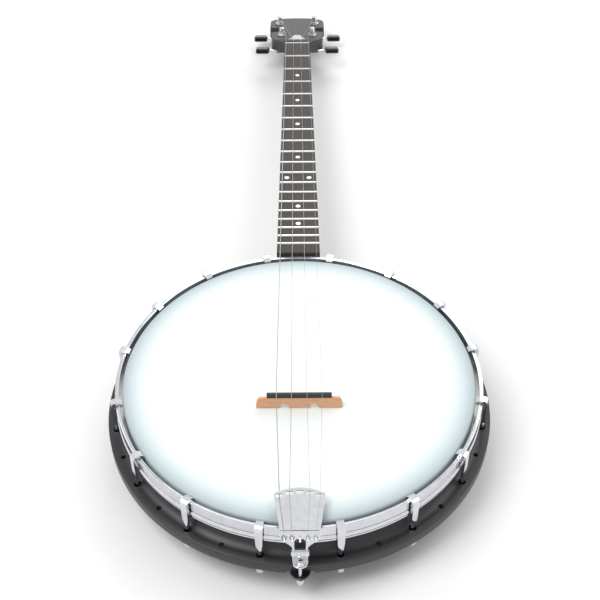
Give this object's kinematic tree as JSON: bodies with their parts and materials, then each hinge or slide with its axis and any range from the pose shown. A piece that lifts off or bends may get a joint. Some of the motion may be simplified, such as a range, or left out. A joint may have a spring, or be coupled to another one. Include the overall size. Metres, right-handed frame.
{
  "type": "tenor banjo",
  "caption": "Open-back tenor banjo: black moulded rim with flange, white head, chrome hoop and hooks, long fretted neck and geared tuners with black buttons",
  "frame": {"origin": "Middle of the head's top face. The banjo lies on its back on the rim.", "axes": "+Y runs along the neck to the peghead, +Z points out of the head, +X is to the player's view right with the peghead up."},
  "size_m": [0.3118, 0.8399, 0.0819],
  "materials": {
    "black_abs": "satin moulded black",
    "head_film": "frosted white film",
    "chrome": "bright plated",
    "steel": "plain drawn steel",
    "black_steel": "gloss black",
    "black_lacquer": "satin black lacquer on hardwood",
    "black_wood": "oiled dark wood",
    "maple": "plain maple",
    "nickel_silver": "polished fret wire",
    "white_pearloid": "pearly white",
    "black_nut": "polished black",
    "grey_plastic": "light grey laminate",
    "black_plastic": "glossy black"
  },
  "bodies": {
    "root": {"rim": "black_abs", "head": "head_film", "flesh_hoop": "steel", "tension_hoop": "chrome", "coordinator_rod": "steel", "rod_tail_nut": "steel", "neck_bolt": "steel", "neck": "black_lacquer", "fingerboard": "black_wood", "frets": "nickel_silver", "position_dots": "white_pearloid", "nut": "black_nut", "truss_rod": "steel", "truss_rod_cover": "grey_plastic", "bridge": "maple", "bridge_cap": "black_wood", "tailpiece_plate": "chrome", "tailpiece_base": "chrome", "tailpiece_bracket": "black_steel", "tailpiece_bolt": "chrome", "hook_01": "chrome", "hook_02": "chrome", "hook_03": "chrome", "hook_04": "chrome", "hook_05": "chrome", "hook_06": "chrome", "hook_07": "chrome", "hook_08": "chrome", "hook_09": "chrome", "hook_10": "chrome", "hook_11": "chrome", "hook_12": "chrome", "hook_13": "chrome", "hook_14": "chrome", "hook_15": "chrome", "hook_16": "chrome", "string_1": "steel", "tuner_housing_1": "chrome", "tuner_bushing_1": "chrome", "string_2": "steel", "tuner_housing_2": "chrome", "tuner_bushing_2": "chrome", "string_3": "steel", "tuner_housing_3": "chrome", "tuner_bushing_3": "chrome", "string_4": "steel", "tuner_housing_4": "chrome", "tuner_bushing_4": "chrome"},
    "button_1": {"tuner_shaft_1": "chrome", "tuner_button_1": "black_plastic"},
    "button_2": {"tuner_shaft_2": "chrome", "tuner_button_2": "black_plastic"},
    "button_3": {"tuner_shaft_3": "chrome", "tuner_button_3": "black_plastic"},
    "button_4": {"tuner_shaft_4": "chrome", "tuner_button_4": "black_plastic"},
    "post_1": {"tuner_post_1": "chrome"},
    "post_2": {"tuner_post_2": "chrome"},
    "post_3": {"tuner_post_3": "chrome"},
    "post_4": {"tuner_post_4": "chrome"}
  },
  "joints": [
    {"name": "button_turn_1", "type": "hinge", "parent": "root", "child": "button_1", "pos_m": [-0.0185, 0.5772, -0.03573], "axis": [1, 0, 0], "continuous": true},
    {"name": "post_turn_1", "type": "hinge", "parent": "root", "child": "post_1", "pos_m": [-0.0185, 0.58813, -0.02199], "axis": [0, 0.2588, 0.9659], "continuous": true},
    {"name": "button_turn_2", "type": "hinge", "parent": "root", "child": "button_2", "pos_m": [-0.0222, 0.63371, -0.05087], "axis": [1, 0, 0], "continuous": true},
    {"name": "post_turn_2", "type": "hinge", "parent": "root", "child": "post_2", "pos_m": [-0.0222, 0.64464, -0.03714], "axis": [0, 0.2588, 0.9659], "continuous": true},
    {"name": "button_turn_3", "type": "hinge", "parent": "root", "child": "button_3", "pos_m": [0.0222, 0.63371, -0.05087], "axis": [1, 0, 0], "continuous": true},
    {"name": "post_turn_3", "type": "hinge", "parent": "root", "child": "post_3", "pos_m": [0.0222, 0.64464, -0.03714], "axis": [0, 0.2588, 0.9659], "continuous": true},
    {"name": "button_turn_4", "type": "hinge", "parent": "root", "child": "button_4", "pos_m": [0.0185, 0.5772, -0.03573], "axis": [1, 0, 0], "continuous": true},
    {"name": "post_turn_4", "type": "hinge", "parent": "root", "child": "post_4", "pos_m": [0.0185, 0.58813, -0.02199], "axis": [0, 0.2588, 0.9659], "continuous": true}
  ],
  "couplings": [
    {"joint": "post_turn_1", "follows": "button_turn_1", "ratio": -0.071429},
    {"joint": "post_turn_2", "follows": "button_turn_2", "ratio": -0.071429},
    {"joint": "post_turn_3", "follows": "button_turn_3", "ratio": -0.071429},
    {"joint": "post_turn_4", "follows": "button_turn_4", "ratio": -0.071429}
  ]
}
